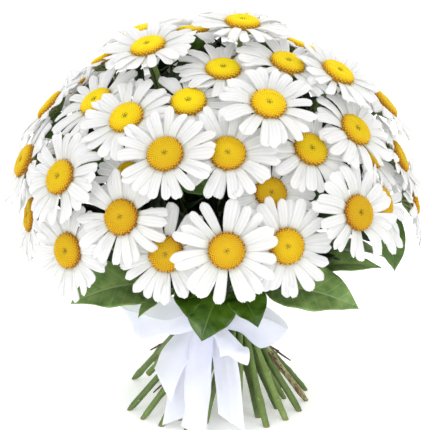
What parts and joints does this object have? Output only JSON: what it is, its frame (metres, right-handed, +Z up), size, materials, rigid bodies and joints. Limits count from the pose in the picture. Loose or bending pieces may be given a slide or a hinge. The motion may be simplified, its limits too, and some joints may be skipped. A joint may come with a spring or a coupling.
{
  "type": "bunch of daisies",
  "caption": "Hand-tied bunch of white daisies on a dome, with a collar of broad green leaves, spiralled cut stems it stands on, and a white ribbon bow at the waist.",
  "frame": {"origin": "on the ground under the middle of the bunch, in the plane of the cut stem ends", "axes": "+Z up along the bunch's axis, -Y towards the front with the bow, +X to the right seen from the front"},
  "size_m": [0.3107, 0.3135, 0.3014],
  "materials": {
    "petal": "matte",
    "disc": "matte",
    "stem": "satin",
    "leaf": "satin",
    "ribbon": "satin"
  },
  "bodies": {
    "root": {"bloom_01": "petal", "bloom_02": "petal", "bloom_03": "petal", "bloom_04": "petal", "bloom_05": "petal", "bloom_06": "petal", "bloom_07": "petal", "bloom_08": "petal", "bloom_09": "petal", "bloom_10": "petal", "bloom_11": "petal", "bloom_12": "petal", "bloom_13": "petal", "bloom_14": "petal", "bloom_15": "petal", "bloom_16": "petal", "bloom_17": "petal", "bloom_18": "petal", "bloom_19": "petal", "bloom_20": "petal", "bloom_21": "petal", "bloom_22": "petal", "bloom_23": "petal", "bloom_24": "petal", "bloom_25": "petal", "bloom_26": "petal", "bloom_27": "petal", "bloom_28": "petal", "bloom_29": "petal", "bloom_30": "petal", "bloom_31": "petal", "bloom_32": "petal", "bloom_33": "petal", "bloom_34": "petal", "bloom_35": "petal", "bloom_36": "petal", "bloom_37": "petal", "bloom_38": "petal", "bloom_39": "petal", "bloom_40": "petal", "bloom_41": "petal", "bloom_42": "petal", "bloom_43": "petal", "bloom_44": "petal", "bloom_45": "petal", "bloom_46": "petal", "bloom_47": "petal", "bloom_48": "petal", "bloom_49": "petal", "bloom_50": "petal", "bloom_51": "petal", "bloom_52": "petal", "stems": "stem", "leaves_front": "leaf", "leaves_left": "leaf", "leaves_right": "leaf", "leaves_back_right": "leaf", "leaves_back_left": "leaf", "ribbon_band": "ribbon", "ribbon_bow": "ribbon"}
  },
  "joints": []
}
